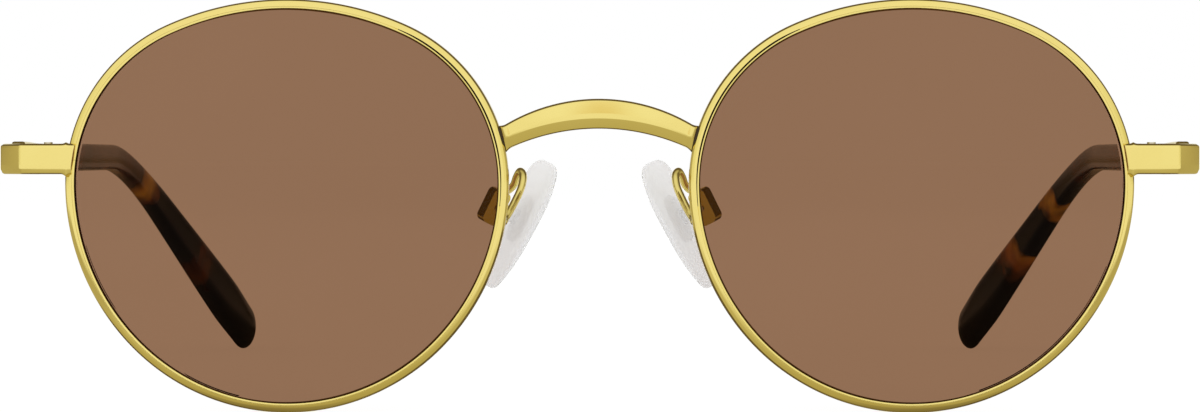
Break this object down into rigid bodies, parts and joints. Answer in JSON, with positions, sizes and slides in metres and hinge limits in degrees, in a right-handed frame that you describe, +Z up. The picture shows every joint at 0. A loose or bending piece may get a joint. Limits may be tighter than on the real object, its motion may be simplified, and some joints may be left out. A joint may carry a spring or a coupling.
{
  "type": "eyeglasses",
  "caption": "Round metal sunglasses with thin gold rims, brown lenses, an arched bridge, clear nose pads and folding temples in tortoise sleeves.",
  "frame": {"origin": "centre of the box of the glasses at rest, on the ground that the rims and the temple tips stand on", "axes": "+X toward the wearer's left across the front, -Y forward through the lenses, +Z up"},
  "size_m": [0.1392, 0.1446, 0.0474],
  "materials": {
    "gold_metal": "polished gold plate",
    "brown_lens": "polished brown tint",
    "tortoise_sleeve": "polished mottled acetate",
    "clear_pad": "clear moulded silicone",
    "steel_screw": "turned steel"
  },
  "bodies": {
    "front": {"right_rim": "gold_metal", "left_rim": "gold_metal", "right_lens": "brown_lens", "left_lens": "brown_lens", "bridge": "gold_metal", "right_end_piece": "gold_metal", "left_end_piece": "gold_metal", "right_upper_closing_block": "gold_metal", "left_upper_closing_block": "gold_metal", "right_lower_closing_block": "gold_metal", "left_lower_closing_block": "gold_metal", "right_lock_screw": "steel_screw", "left_lock_screw": "steel_screw", "right_front_hinge": "gold_metal", "left_front_hinge": "gold_metal", "right_hinge_screw": "steel_screw", "left_hinge_screw": "steel_screw", "right_pad_arm": "gold_metal", "left_pad_arm": "gold_metal", "right_pad_box": "gold_metal", "left_pad_box": "gold_metal", "right_pad_screw": "steel_screw", "left_pad_screw": "steel_screw"},
    "right_temple": {"right_temple_arm": "gold_metal", "right_temple_sleeve": "tortoise_sleeve", "right_temple_hinge": "gold_metal"},
    "right_pad": {"right_nose_pad": "clear_pad", "right_pad_insert": "clear_pad"},
    "left_temple": {"left_temple_arm": "gold_metal", "left_temple_sleeve": "tortoise_sleeve", "left_temple_hinge": "gold_metal"},
    "left_pad": {"left_nose_pad": "clear_pad", "left_pad_insert": "clear_pad"}
  },
  "joints": [
    {"name": "right_temple_fold", "type": "hinge", "parent": "front", "child": "right_temple", "pos_m": [-0.0664, -0.05909, 0.0291], "axis": [0, 0, -1], "range_deg": [0, 87]},
    {"name": "left_temple_fold", "type": "hinge", "parent": "front", "child": "left_temple", "pos_m": [0.0664, -0.05909, 0.0291], "axis": [0, 0, 1], "range_deg": [0, 81]},
    {"name": "right_pad_rock", "type": "hinge", "parent": "front", "child": "right_pad", "pos_m": [-0.01214, -0.06226, 0.02351], "axis": [-0.408, 0.891, 0.199], "range_deg": [-8, 8]},
    {"name": "left_pad_rock", "type": "hinge", "parent": "front", "child": "left_pad", "pos_m": [0.01214, -0.06226, 0.02351], "axis": [0.408, 0.891, 0.199], "range_deg": [-8, 8]}
  ]
}
